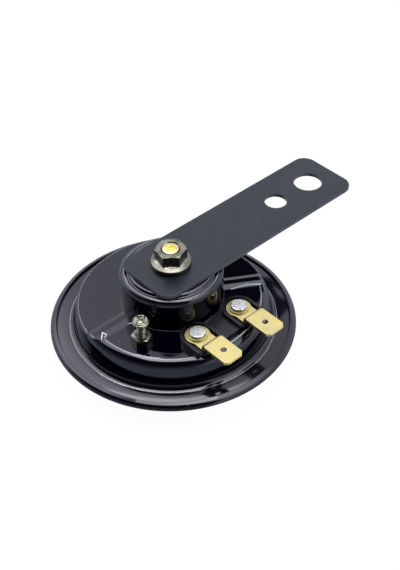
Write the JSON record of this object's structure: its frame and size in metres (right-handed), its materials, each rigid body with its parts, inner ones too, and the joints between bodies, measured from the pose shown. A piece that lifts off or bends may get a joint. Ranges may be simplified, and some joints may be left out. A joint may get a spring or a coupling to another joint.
{
  "type": "car horn",
  "caption": "Electric disc horn: pressed steel body with crimped front grille, mounting strap with bolt holes, spade terminals and sound adjusting screw.",
  "frame": {"origin": "on the horn's axis, in the plane of the flat front face it rests on", "axes": "+Z from the front face to the nut on the rear side, +X along the mounting strap, terminals towards -Y"},
  "size_m": [0.0984, 0.07, 0.0333],
  "materials": {
    "black_paint": "gloss",
    "strap_finish": "satin",
    "yellow_zinc": "satin",
    "green_zinc": "satin",
    "phenolic": "satin",
    "brass_strip": "satin",
    "bright_rivet": "satin",
    "fibre_board": "matte",
    "gasket": "matte",
    "spring_steel": "satin",
    "bare_steel": "satin",
    "bobbin_nylon": "matte",
    "enamelled_copper": "gloss"
  },
  "bodies": {
    "horn": {"rear_housing": "black_paint", "front_cover": "black_paint", "mounting_stud": "yellow_zinc", "flange_nut": "green_zinc", "adjuster_lock_nut": "green_zinc", "terminal_insulator": "phenolic", "terminal_tab_left": "brass_strip", "terminal_tab_right": "brass_strip", "terminal_rivets": "bright_rivet", "inner_insulator": "fibre_board", "gasket_rear": "gasket", "diaphragm": "spring_steel", "gasket_front": "gasket", "coil_bobbin": "bobbin_nylon", "coil_winding": "enamelled_copper", "coil_lead_start": "enamelled_copper", "coil_lead_end": "enamelled_copper", "lead_eyelet": "brass_strip", "fixed_contact_arm": "brass_strip", "fixed_contact_point": "bright_rivet", "moving_contact_point": "bright_rivet", "moving_contact_spring": "spring_steel", "contact_insulator": "fibre_board"},
    "armature": {"armature": "bare_steel", "tone_disc_spacer": "bare_steel", "tone_disc": "bare_steel", "rivet_washer": "bare_steel"},
    "strap": {"mounting_bracket": "strap_finish"},
    "adjuster": {"adjusting_screw": "green_zinc"}
  },
  "joints": [
    {"name": "armature_stroke", "type": "slide", "parent": "horn", "child": "armature", "axis": [0, 0, 1], "range_m": [-0.0003, 0.0007], "stiffness_N_per_m": 3000, "deforming": ["diaphragm", "moving_contact_spring"]},
    {"name": "strap_swivel", "type": "hinge", "parent": "horn", "child": "strap", "pos_m": [0, 0, 0.0272], "axis": [0, 0, 1], "continuous": true},
    {"name": "adjuster_turn", "type": "hinge", "parent": "horn", "child": "adjuster", "pos_m": [-0.0179, -0.0081, 0.018], "axis": [0, 0, 1], "range_deg": [-360, 360]}
  ]
}
